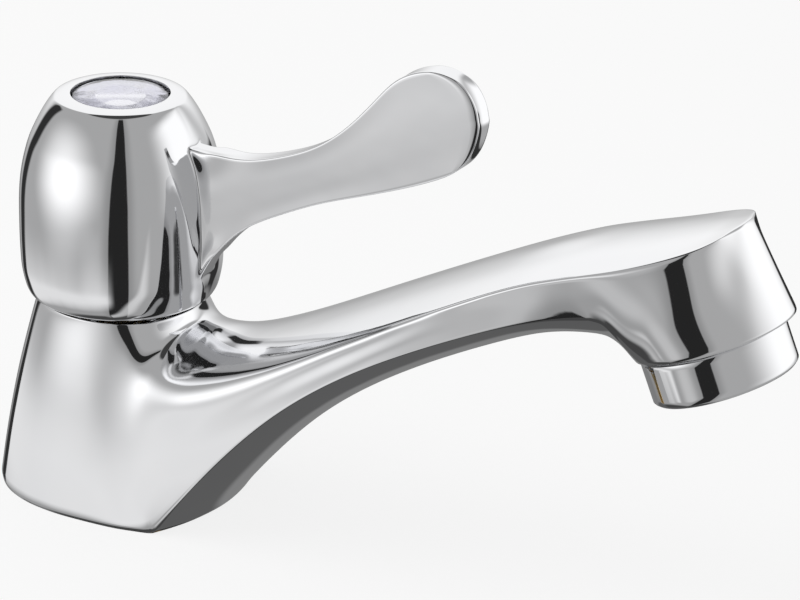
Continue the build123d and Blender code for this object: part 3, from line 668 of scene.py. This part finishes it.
for height, outwards in ((TAIL_TOP, 1), (TAIL_LOW, -1)):
    every = tail_mesh.verts[:] + tail_mesh.edges[:] + tail_mesh.faces[:]
    bmesh.ops.bisect_plane(tail_mesh, geom=every, plane_co=(0, 0, height), plane_no=(0, 0, outwards),
                           clear_outer=True, dist=0.0005)
    rim_edges = [e for e in tail_mesh.edges if all(abs(v.co.z - height) < 0.002 for v in e.verts)]
    for radius, depth in ((6.85, 0), (6.85, -outwards * (TAIL_TOP - TAIL_LOW) / 2)):
        made = bmesh.ops.extrude_edge_only(tail_mesh, edges=rim_edges)["geom"]
        for v in (g for g in made if isinstance(g, bmesh.types.BMVert)):
            v.co.xy = v.co.xy.normalized() * radius
            v.co.z += depth
        rim_edges = [g for g in made if isinstance(g, bmesh.types.BMEdge)
                     and all(abs(v.co.xy.length - radius) < 0.001 for v in g.verts)
                     and abs(g.verts[0].co.z - g.verts[1].co.z) < 0.001]
bmesh.ops.recalc_face_normals(tail_mesh, faces=tail_mesh.faces)
bmesh.ops.scale(tail_mesh, vec=(MM, MM, MM), verts=tail_mesh.verts)
tail_data = bpy.data.meshes.new("threaded_tail")
tail_mesh.to_mesh(tail_data)
tail_mesh.free()
tail = bpy.data.objects.new("threaded_tail", tail_data)
bpy.context.scene.collection.objects.link(tail)
print("thread turns:", turns, "faces:", len(tail_data.polygons))

# %% [markdown]
# Chrome plate is a mirror, so almost everything on it is a picture of the room. What makes it look
# real is the rest: the buffed casting under it is never quite flat, so straight reflections waver a
# little, and fine polishing haze changes the gloss from place to place. Both come from noise on the
# object's own coordinates, one slow and one fine.

# %% Node helpers
def new_material(name, colour, metal, rough, **sockets):
    """A Principled material with its plain values set on the shader's own sockets."""
    material = bpy.data.materials.new(name)
    material.use_nodes = True
    tree = material.node_tree
    shader = tree.nodes["Principled BSDF"]
    shader.inputs["Base Color"].default_value = (*colour, 1)
    shader.inputs["Metallic"].default_value = metal
    shader.inputs["Roughness"].default_value = rough
    for socket, value in sockets.items():
        shader.inputs[socket.replace("_", " ")].default_value = value
    place = tree.nodes.new("ShaderNodeTexCoord")
    return material, tree, shader, place.outputs["Object"]


def noise(tree, place, scale, detail=2.0, stretch=None):
    """Noise on the object's coordinates; stretch draws it out along an axis."""
    if stretch:
        mapping = tree.nodes.new("ShaderNodeMapping")
        mapping.inputs["Scale"].default_value = stretch
        tree.links.new(place, mapping.inputs["Vector"])
        place = mapping.outputs["Vector"]
    node = tree.nodes.new("ShaderNodeTexNoise")
    node.inputs["Scale"].default_value = scale
    node.inputs["Detail"].default_value = detail
    tree.links.new(place, node.inputs["Vector"])
    return node.outputs["Fac"]


def spread(tree, value, low, high, start=0.3, end=0.7):
    """Maps a 0 to 1 pattern onto a range of values."""
    node = tree.nodes.new("ShaderNodeMapRange")
    node.inputs["From Min"].default_value = start
    node.inputs["From Max"].default_value = end
    node.inputs["To Min"].default_value = low
    node.inputs["To Max"].default_value = high
    tree.links.new(value, node.inputs["Value"])
    return node.outputs["Result"]


def bump(tree, shader, value, depth, under=None):
    """Raises the surface by the pattern, depth in metres."""
    node = tree.nodes.new("ShaderNodeBump")
    node.inputs["Strength"].default_value = 1.0
    node.inputs["Distance"].default_value = depth
    tree.links.new(value, node.inputs["Height"])
    if under:
        tree.links.new(under, node.inputs["Normal"])
    tree.links.new(node.outputs["Normal"], shader.inputs["Normal"])
    return node.outputs["Normal"]


def shade(tree, shader, value, dark, light):
    """Varies the base colour between two tones by the pattern."""
    node = tree.nodes.new("ShaderNodeMix")
    node.data_type = "RGBA"
    node.inputs["A"].default_value = (*dark, 1)
    node.inputs["B"].default_value = (*light, 1)
    tree.links.new(value, node.inputs["Factor"])
    tree.links.new(node.outputs["Result"], shader.inputs["Base Color"])


# %% Chrome plate
def chrome_plate(name, waver, haze):
    """Polished chrome over a buffed casting; waver is the casting's unevenness in metres."""
    material, tree, shader, place = new_material(name, (0.86, 0.862, 0.875), 1.0, 0.03)
    fine = noise(tree, place, 900.0, 3.0)
    tree.links.new(spread(tree, fine, 0.02, 0.02 + haze), shader.inputs["Roughness"])
    shade(tree, shader, spread(tree, noise(tree, place, 45.0, 2.0), 0, 1), (0.845, 0.85, 0.865), (0.88, 0.882, 0.893))
    slow = bump(tree, shader, noise(tree, place, 130.0, 1.0), waver)
    bump(tree, shader, fine, waver * 0.01, slow)
    return material


cast_chrome = chrome_plate("chrome_on_casting", 0.00003, 0.03)
turned_chrome = chrome_plate("chrome_on_turned_brass", 0.00001, 0.04)
print("chrome made")

# %% [markdown]
# The parts that nobody polishes show how they were made. Turned brass has fine rings round its axis,
# pressed steel has a satin grain, rubber is matt with a faint bloom, ceramic is lapped smooth, and
# moulded plastic has a soft eggshell surface.

# %% Brass, steel, rubber, ceramic, plastic
def turned_brass(name):
    material, tree, shader, place = new_material(name, (0.72, 0.53, 0.26), 1.0, 0.3)
    rings = noise(tree, place, 60.0, 3.0, stretch=(1, 1, 60))
    tree.links.new(spread(tree, rings, 0.2, 0.42), shader.inputs["Roughness"])
    shade(tree, shader, spread(tree, noise(tree, place, 120.0, 4.0), 0, 1), (0.62, 0.44, 0.2), (0.78, 0.6, 0.32))
    bump(tree, shader, rings, 0.00003)
    return material


def pressed_steel(name, tone):
    material, tree, shader, place = new_material(name, (tone, tone, tone * 1.01), 1.0, 0.35)
    grain = noise(tree, place, 300.0, 4.0, stretch=(1, 12, 1))
    tree.links.new(spread(tree, grain, 0.24, 0.45), shader.inputs["Roughness"])
    light, dark = tone * 1.06, tone * 0.9
    shade(tree, shader, spread(tree, grain, 0, 1), (dark, dark, dark), (light, light, light))
    bump(tree, shader, grain, 0.00001)
    return material


def black_rubber(name):
    material, tree, shader, place = new_material(name, (0.03, 0.03, 0.03), 0.0, 0.6)
    skin = noise(tree, place, 700.0, 5.0)
    bloom = noise(tree, place, 90.0, 3.0)
    tree.links.new(spread(tree, bloom, 0.5, 0.75), shader.inputs["Roughness"])
    shade(tree, shader, spread(tree, bloom, 0, 1), (0.022, 0.022, 0.023), (0.055, 0.055, 0.054))
    bump(tree, shader, skin, 0.00002)
    return material


def lapped_ceramic(name):
    material, tree, shader, place = new_material(name, (0.86, 0.85, 0.81), 0.0, 0.12)
    cloud = noise(tree, place, 250.0, 4.0)
    tree.links.new(spread(tree, cloud, 0.08, 0.2), shader.inputs["Roughness"])
    shade(tree, shader, spread(tree, cloud, 0, 1), (0.82, 0.81, 0.77), (0.88, 0.87, 0.84))
    bump(tree, shader, cloud, 0.000004)
    return material


def moulded_plastic(name, tone, gloss):
    material, tree, shader, place = new_material(name, (tone, tone, tone * 0.99), 0.0, gloss)
    skin = noise(tree, place, 1200.0, 3.0)
    tree.links.new(spread(tree, noise(tree, place, 110.0, 3.0), gloss * 0.8, gloss * 1.3), shader.inputs["Roughness"])
    shade(tree, shader, spread(tree, skin, 0, 1), (tone * 0.93,) * 3, (min(1, tone * 1.04),) * 3)
    bump(tree, shader, skin, 0.00001)
    return material


brass = turned_brass("turned_brass")
steel = pressed_steel("pressed_steel", 0.64)
spring_steel = pressed_steel("spring_steel", 0.56)
rubber = black_rubber("black_rubber")
ceramic = lapped_ceramic("lapped_ceramic")
white_plastic = moulded_plastic("white_moulding", 0.8, 0.35)
silver_plastic = moulded_plastic("silver_moulding", 0.6, 0.18)
print("plain finishes made")

# %% Clear dome and foil
lens, tree, shader, place = new_material("clear_dome", (0.9, 0.9, 0.95), 0.0, 0.02, Transmission_Weight=1.0, IOR=1.49)
tree.links.new(spread(tree, noise(tree, place, 400.0, 2.0), 0.01, 0.05), shader.inputs["Roughness"])
bump(tree, shader, noise(tree, place, 160.0, 1.0), 0.00001)
foil, tree, shader, place = new_material("bright_foil", (0.83, 0.83, 0.87), 1.0, 0.2)
wrinkle = noise(tree, place, 260.0, 3.0)
tree.links.new(spread(tree, wrinkle, 0.12, 0.3), shader.inputs["Roughness"])
shade(tree, shader, spread(tree, wrinkle, 0, 1), (0.76, 0.76, 0.82), (0.88, 0.88, 0.9))
bump(tree, shader, noise(tree, place, 220.0, 2.0), 0.0004)

# %% [markdown]
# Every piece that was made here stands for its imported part: it rides on the same body and takes the
# part's place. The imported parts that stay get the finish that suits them.

# %% Pieces and finishes in place
for thing, part, material, carrier in [
        (body, "body_casting", cast_chrome, "body"), (handle, "handle_casting", cast_chrome, "handle"),
        (aerator, "aerator_shell", turned_chrome, "body"), (button, "index_button", lens, "handle"),
        (tail, "inlet_tail", brass, "body")]:
    thing.data.materials.clear()
    thing.data.materials.append(material)
    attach(thing, carrier)
    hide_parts(part)

FINISHES = {
    "button_backing": foil, "button_bezel": silver_plastic, "aerator_mesh": steel, "aerator_insert": white_plastic,
    "aerator_washer": rubber, "tail_ring": rubber, "base_gasket": rubber, "deck_washer_rubber": rubber,
    "deck_washer_steel": steel, "backnut": brass, "valve_body": brass, "neck_ring": rubber, "seat_seal": rubber,
    "fixed_disc": ceramic, "moving_disc": ceramic, "spindle": brass, "spindle_ring_lower": rubber,
    "spindle_ring_upper": rubber, "spindle_clip": spring_steel, "spline_insert": white_plastic,
    "lock_washer": steel, "handle_screw": steel,
    "body_casting": cast_chrome, "handle_casting": cast_chrome, "aerator_shell": turned_chrome,
    "index_button": lens, "inlet_tail": brass,
}
for part, material in FINISHES.items():
    data = nodes[part].data
    data.materials.clear()
    data.materials.append(material)
print("finishes given:", len(FINISHES))

# %% [markdown]
# A tap stands on a deck, here a plain pale one that hides the tail and the nut under it. The floor
# keeps the tap's shadow, but it isn't shown to mirror-like rays, because the white tent round the set
# reaches under the object too.

# %% Floor
floor_mesh = bmesh.new()
bmesh.ops.create_grid(floor_mesh, x_segments=1, y_segments=1, size=3.0)
floor_data = bpy.data.meshes.new("floor")
floor_mesh.to_mesh(floor_data)
floor_mesh.free()
floor = bpy.data.objects.new("floor", floor_data)
bpy.context.scene.collection.objects.link(floor)
floor_paint, tree, shader, place = new_material("pale_floor", (0.95, 0.95, 0.95), 0.0, 0.8)
white = tree.nodes.new("ShaderNodeEmission")
seen = tree.nodes.new("ShaderNodeLightPath")
faint = tree.nodes.new("ShaderNodeMath")
faint.operation = "MULTIPLY"
faint.inputs[1].default_value = 0.8
tree.links.new(seen.outputs["Is Camera Ray"], faint.inputs[0])
blend = tree.nodes.new("ShaderNodeMixShader")
tree.links.new(faint.outputs["Value"], blend.inputs["Fac"])
tree.links.new(shader.outputs["BSDF"], blend.inputs[1])
tree.links.new(white.outputs["Emission"], blend.inputs[2])
tree.links.new(blend.outputs["Shader"], tree.nodes["Material Output"].inputs["Surface"])
floor.data.materials.append(floor_paint)
floor.visible_glossy = False
floor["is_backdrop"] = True

# %% [markdown]
# Product pictures of chrome are taken inside a white tent with a slit for the lens, and the chrome
# shows the inside of that tent. So the set has one: a sphere round the tap that only mirror-like rays
# can see. It has a real radius, because the reflections slide from part to part as they do in a
# small tent. Its glow is a pale grey with panels laid over it: a big soft box on the left, a
# bright wall on the right and behind, the dark slit at the camera, a dark vent at the top and the
# shaded table below. Bearings are measured from the camera's, heights from the horizon.

# %% Tent
TENT_RADIUS = 0.32
TENT_CENTRE = Vector((0, 0, 0.05))
CAMERA_BEARING = 28.85
tent_mesh = bmesh.new()
bmesh.ops.create_icosphere(tent_mesh, subdivisions=5, radius=TENT_RADIUS)
bmesh.ops.translate(tent_mesh, vec=TENT_CENTRE, verts=tent_mesh.verts)
bmesh.ops.reverse_faces(tent_mesh, faces=tent_mesh.faces)
tent_data = bpy.data.meshes.new("tent")
tent_mesh.to_mesh(tent_data)
tent_mesh.free()
tent_shell = bpy.data.objects.new("tent", tent_data)
bpy.context.scene.collection.objects.link(tent_shell)
for seen_by in ("visible_camera", "visible_diffuse", "visible_shadow", "visible_volume_scatter"):
    setattr(tent_shell, seen_by, False)
tent_shell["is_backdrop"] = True
tent_glow = bpy.data.materials.new("tent_glow")
tent_glow.use_nodes = True
tent_glow.cycles.emission_sampling = "NONE"
tent = tent_glow.node_tree
tent.nodes.clear()
tent_data.materials.append(tent_glow)


def maths(kind, *values):
    """A Math node whose inputs are numbers or sockets."""
    node = tent.nodes.new("ShaderNodeMath")
    node.operation = kind
    for socket, value in zip(node.inputs, values):
        if isinstance(value, (int, float)):
            socket.default_value = value
        else:
            tent.links.new(value, socket)
    return node.outputs[0]


def fade(value, start, end):
    """1 up to start, falling smoothly to 0 at end."""
    node = tent.nodes.new("ShaderNodeMapRange")
    node.interpolation_type = "SMOOTHSTEP"
    node.inputs["From Min"].default_value = start
    node.inputs["From Max"].default_value = end
    node.inputs["To Min"].default_value = 1.0
    node.inputs["To Max"].default_value = 0.0
    tent.links.new(value, node.inputs["Value"])
    return node.outputs["Result"]


place = tent.nodes.new("ShaderNodeTexCoord").outputs["Object"]
centred = tent.nodes.new("ShaderNodeMapping")
centred.inputs["Location"].default_value = -TENT_CENTRE
tent.links.new(place, centred.inputs["Vector"])
parts = tent.nodes.new("ShaderNodeSeparateXYZ")
tent.links.new(centred.outputs["Vector"], parts.inputs["Vector"])
turned_to = maths("ARCTAN2", parts.outputs["X"], maths("MULTIPLY", parts.outputs["Y"], -1.0))
shifted = maths("SUBTRACT", maths("MULTIPLY", turned_to, 180 / math.pi), CAMERA_BEARING)
bearing = maths("WRAP", shifted, 180.0, -180.0)
height = maths("MULTIPLY", maths("ARCSINE", maths("DIVIDE", parts.outputs["Z"], TENT_RADIUS)), 180 / math.pi)


def lay_over(under, mask, value):
    """Covers the brightness so far with a new one where the mask is 1."""
    node = tent.nodes.new("ShaderNodeMix")
    node.data_type = "FLOAT"
    if isinstance(under, float):
        node.inputs["A"].default_value = under
    else:
        tent.links.new(under, node.inputs["A"])
    node.inputs["B"].default_value = value
    tent.links.new(mask, node.inputs["Factor"])
    return node.outputs["Result"]


def panel(under, value, at, half, soft, low=-95, high=95, blur=6, slant=0.0, flare=0.0):
    """A panel from low to high, half a width either side of its bearing, with soft edges."""
    middle = maths("ADD", maths("MULTIPLY", height, slant), at)
    away = maths("ABSOLUTE", maths("WRAP", maths("SUBTRACT", bearing, middle), 180.0, -180.0))
    across = fade(maths("ADD", away, maths("MULTIPLY", height, flare)), half, half + soft)
    up_away = maths("ABSOLUTE", maths("SUBTRACT", height, (low + high) / 2))
    along = fade(up_away, (high - low) / 2, (high - low) / 2 + blur)
    return lay_over(under, maths("MULTIPLY", across, along), value)


def soft_box(under, value, at, level, wide, tall, core, rim):
    """A round glow, full inside core and gone at rim, both as shares of its width and height."""
    side = maths("DIVIDE", maths("WRAP", maths("SUBTRACT", bearing, at), 180.0, -180.0), wide)
    rise = maths("DIVIDE", maths("SUBTRACT", height, level), tall)
    away = maths("SQRT", maths("ADD", maths("MULTIPLY", side, side), maths("MULTIPLY", rise, rise)))
    return lay_over(under, fade(away, core, rim), value)


# %% Panels, each laid over the ones before
glow = 0.42
glow = panel(glow, 0.37, 0, 180, 1, -95, -36, 14)
glow = soft_box(glow, 0.56, -28, -28, 14, 12, 0.2, 1.4)
glow = soft_box(glow, 1.25, -62, 7, 33, 22, 0.2, 1.6)
glow = panel(glow, 1.15, 92, 9, 42, -4, 34, 12)
glow = panel(glow, 1.04, 180, 36, 16, 26, 95, 42)
glow = panel(glow, 0.22, 165, 40, 20, -46, -30, 8)
glow = panel(glow, 0.06, 0, 180, 1, -95, -64, 10)
glow = panel(glow, 0.11, 170, 50, 20, -95, -54, 8)
glow = panel(glow, 0.24, -160, 7, 4, -34, -14, 6)
glow = panel(glow, 0.03, 134, 9, 5, -30, -2, 5)
glow = panel(glow, 0.03, -130, 5, 5, -32, 28, 6, slant=0.4)
glow = panel(glow, 0.05, 0, 180, 1, 68, 95, 5)
glow = panel(glow, 0.3, 2.5, 9, 12, -62, 60, 6, slant=0.059, flare=0.07)
glow = panel(glow, 0.02, 2.5, 8.7, 1.5, -62, 60, 6, slant=0.059, flare=0.07)
lit = tent.nodes.new("ShaderNodeEmission")
tent.links.new(glow, lit.inputs["Color"])
tent_out = tent.nodes.new("ShaderNodeOutputMaterial")
tent.links.new(lit.outputs["Emission"], tent_out.inputs["Surface"])
print("nodes in the tent's glow:", len(tent.nodes))

# %% [markdown]
# Two low white cards stand close to the tap on the lens's left. One bends round the base and
# brightens the column, the other brightens the flank of the spout. They fade out upwards, so that
# the handle hardly sees them, and are too near for the head to see.

# %% Low cards
def low_card(name, line, top, top_fade, end_fade, climb=0.0, strength=0.75):
    """A card from a row of low corners up to a level top, faded out at its top, foot and right end."""
    global tent
    bm = bmesh.new()
    low_row = first_row(bm, [Vector(corner) for corner in line])
    add_row(bm, low_row, [Vector((v.co.x, v.co.y, top + climb * v.co.x)) for v in low_row])
    bmesh.ops.scale(bm, vec=(MM, MM, MM), verts=bm.verts)
    data = bpy.data.meshes.new(name)
    bm.to_mesh(data)
    bm.free()
    card = bpy.data.objects.new(name, data)
    bpy.context.scene.collection.objects.link(card)
    for seen_by in ("visible_camera", "visible_diffuse", "visible_shadow", "visible_volume_scatter"):
        setattr(card, seen_by, False)
    card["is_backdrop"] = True
    paint = bpy.data.materials.new(name)
    paint.use_nodes = True
    paint.cycles.emission_sampling = "NONE"
    tent = paint.node_tree
    tent.nodes.clear()
    data.materials.append(paint)
    parts = tent.nodes.new("ShaderNodeSeparateXYZ")
    tent.links.new(tent.nodes.new("ShaderNodeTexCoord").outputs["Object"], parts.inputs["Vector"])
    raised = maths("SUBTRACT", parts.outputs["Z"], maths("MULTIPLY", parts.outputs["X"], climb))
    upper = fade(raised, *top_fade)
    foot = fade(maths("MULTIPLY", raised, -1.0), 0.024, 0.058)
    end = fade(parts.outputs["X"], *end_fade)
    share = maths("MULTIPLY", maths("MULTIPLY", maths("MULTIPLY", upper, foot), end), strength)
    cover = tent.nodes.new("ShaderNodeMixShader")
    tent.links.new(share, cover.inputs["Fac"])
    tent.links.new(tent.nodes.new("ShaderNodeBsdfTransparent").outputs["BSDF"], cover.inputs[1])
    glow = tent.nodes.new("ShaderNodeEmission")
    glow.inputs["Strength"].default_value = 0.98
    tent.links.new(glow.outputs["Emission"], cover.inputs[2])
    out = tent.nodes.new("ShaderNodeOutputMaterial")
    tent.links.new(cover.outputs["Shader"], out.inputs["Surface"])
    print(name, "faces:", len(data.polygons))


low_card("base_card", [(50, -100, -62), (15, -100, -62), (-10, -99, -62), (-45, -92, -62), (-75, -76, -62),
                       (-96, -50, -62), (-106, -18, -62), (-108, 15, -62)], 25, (-0.015, 0.024), (0.026, 0.05))
low_card("spout_card", [(90, -45, -6), (70, -45, -18), (45, -45, -34), (16, -45, -50)], -4,
         (-0.018, -0.006), (0.062, 0.09), climb=0.6, strength=0.5)

# %% [markdown]
# Outside the tent there is only white. It is the background that the camera sees, and it lights
# the floor and everything that isn't a mirror.

# %% White surround
world = bpy.data.worlds.new("surround")
bpy.context.scene.world = world
world.use_nodes = True
sky = world.node_tree
sky.nodes.clear()
light_path = sky.nodes.new("ShaderNodeLightPath")
strength = sky.nodes.new("ShaderNodeMix")
strength.data_type = "FLOAT"
strength.inputs["A"].default_value = 0.64
strength.inputs["B"].default_value = 1.0
sky.links.new(light_path.outputs["Is Camera Ray"], strength.inputs["Factor"])
surround = sky.nodes.new("ShaderNodeBackground")
surround.inputs["Color"].default_value = (1, 1, 1, 1)
sky.links.new(strength.outputs["Result"], surround.inputs["Strength"])
sky_out = sky.nodes.new("ShaderNodeOutputWorld")
sky.links.new(surround.outputs["Background"], sky_out.inputs["Surface"])

# %% [markdown]
# One large soft lamp from above the camera's left gives the floor its faint shadow.

# %% Lamp
lamp_data = bpy.data.lights.new("soft_box", "AREA")
lamp_data.shape = "RECTANGLE"
lamp_data.size = 1.2
lamp_data.size_y = 0.9
lamp_data.energy = 6.0
lamp = bpy.data.objects.new("soft_box", lamp_data)
lamp.matrix_world = Matrix.Translation((-0.5, -0.6, 1.4)) @ Vector((-0.5, -0.6, 1.4)).to_track_quat("Z", "Y").to_matrix().to_4x4()
lamp.visible_glossy = False
bpy.context.scene.collection.objects.link(lamp)
bpy.context.scene.view_settings.view_transform = "Standard"

low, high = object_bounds()
print("box of the finished model:", [round(v, 4) for v in (*low, *high)])
